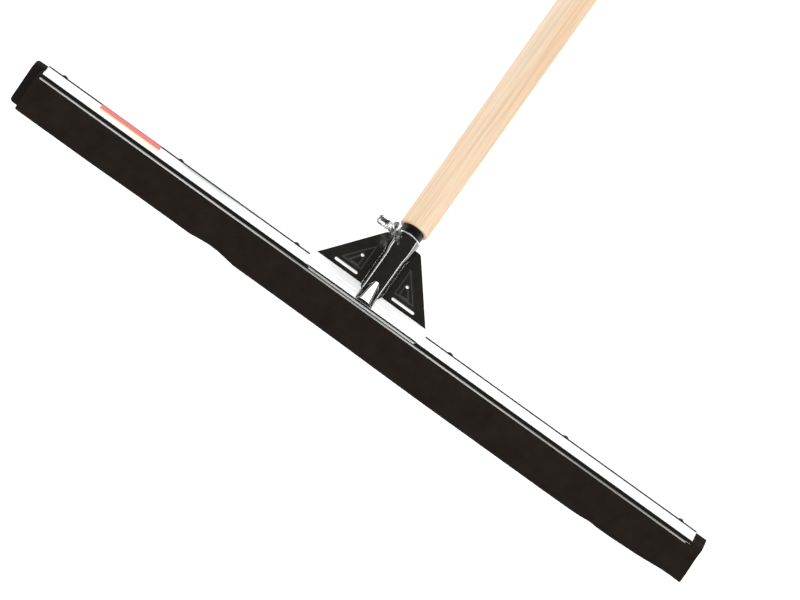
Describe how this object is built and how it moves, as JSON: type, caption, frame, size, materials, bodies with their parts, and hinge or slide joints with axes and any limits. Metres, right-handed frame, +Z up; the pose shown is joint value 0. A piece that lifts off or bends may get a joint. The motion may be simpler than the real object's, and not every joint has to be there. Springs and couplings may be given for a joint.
{
  "type": "floor squeegee",
  "caption": "Wide floor squeegee with a double foam rubber blade in a folded steel channel, a pressed socket with gusset wings, a wing screw and a straight wooden handle.",
  "frame": {"origin": "middle of the lying squeegee's footprint, on the floor", "axes": "+X along the blade to the right as seen from the blade end, +Y from the blade to the handle's far end, +Z up from the floor; the squeegee lies as it is put down, on the back blade's wiping edge and the handle's round end"},
  "size_m": [0.759, 1.4706, 0.0544],
  "materials": {
    "zinc_plate": "bright zinc plating",
    "black_enamel": "gloss",
    "foam_rubber": "matte cellular",
    "black_plastic": "satin",
    "bright_steel": "polished",
    "pale_wood": "smooth unvarnished",
    "label_film": "satin film"
  },
  "bodies": {
    "head": {"channel": "zinc_plate", "front_blade": "foam_rubber", "back_blade": "foam_rubber", "blade_pins": "black_plastic", "saddle_plate": "zinc_plate", "socket_front_shell": "black_enamel", "socket_back_shell": "black_enamel", "socket_sleeve": "black_plastic", "clamp_nut": "bright_steel", "label": "label_film"},
    "handle": {"handle": "pale_wood"},
    "screw_stud": {"screw_stud": "bright_steel"},
    "screw_wings": {"screw_wings": "bright_steel"}
  },
  "joints": [
    {"name": "handle_pull", "type": "slide", "parent": "head", "child": "handle", "axis": [0, 1, -0.0082], "range_m": [0, 0.056]},
    {"name": "screw_travel", "type": "slide", "parent": "head", "child": "screw_stud", "axis": [-0.8192, 0.0047, 0.5736], "range_m": [0, 0.0018]},
    {"name": "screw_turn", "type": "hinge", "parent": "screw_stud", "child": "screw_wings", "pos_m": [-0.02452, -0.62208, 0.03941], "axis": [-0.8192, 0.0047, 0.5736], "range_deg": [0, 811]}
  ],
  "couplings": [
    {"joint": "screw_turn", "follows": "screw_travel", "rad_per_m": 7854}
  ]
}
